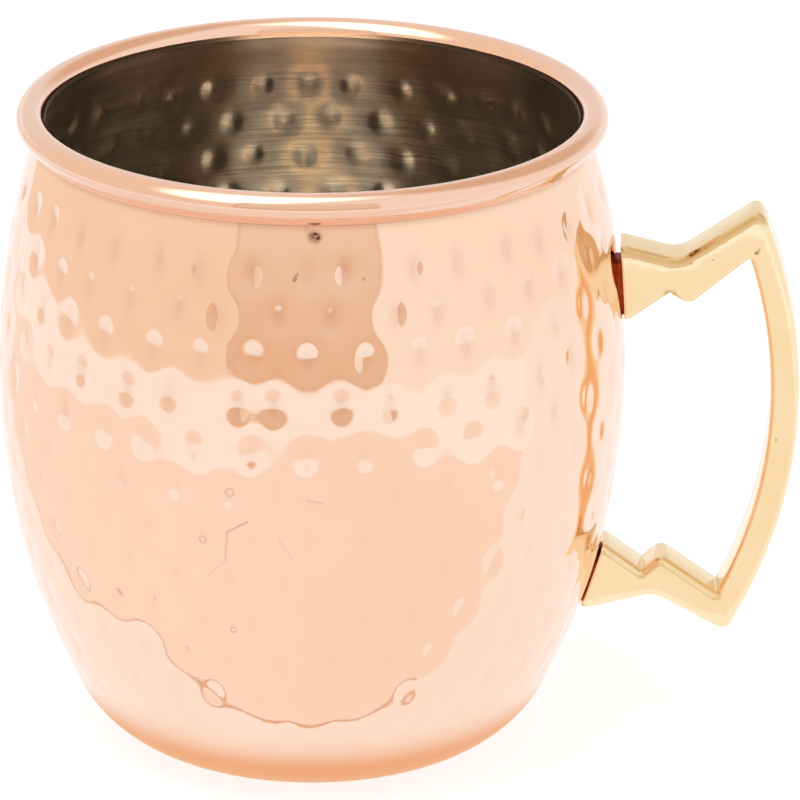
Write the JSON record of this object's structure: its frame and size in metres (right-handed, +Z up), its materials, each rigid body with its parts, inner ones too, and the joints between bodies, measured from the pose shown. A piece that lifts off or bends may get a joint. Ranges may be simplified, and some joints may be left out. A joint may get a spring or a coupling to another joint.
{
  "type": "copper mug",
  "caption": "Barrel-shaped hammered copper mug with a brushed steel liner, a rolled rim and a cast brass handle with a bowed grip.",
  "frame": {"origin": "middle of the flat base, on the table", "axes": "+Z up along the cup's axis, +X towards the handle"},
  "size_m": [0.1174, 0.092, 0.097],
  "materials": {
    "copper": "polished copper with hammer dimples",
    "liner_steel": "brushed round the cup",
    "plain_steel": "plain drawn",
    "brass": "cast and polished",
    "filler": "dull, as brazed"
  },
  "bodies": {
    "root": {"copper_shell": "copper", "steel_liner": "liner_steel", "rim_wire": "plain_steel", "brass_handle": "brass", "upper_stud": "plain_steel", "lower_stud": "plain_steel", "upper_braze": "filler", "lower_braze": "filler"}
  },
  "joints": []
}
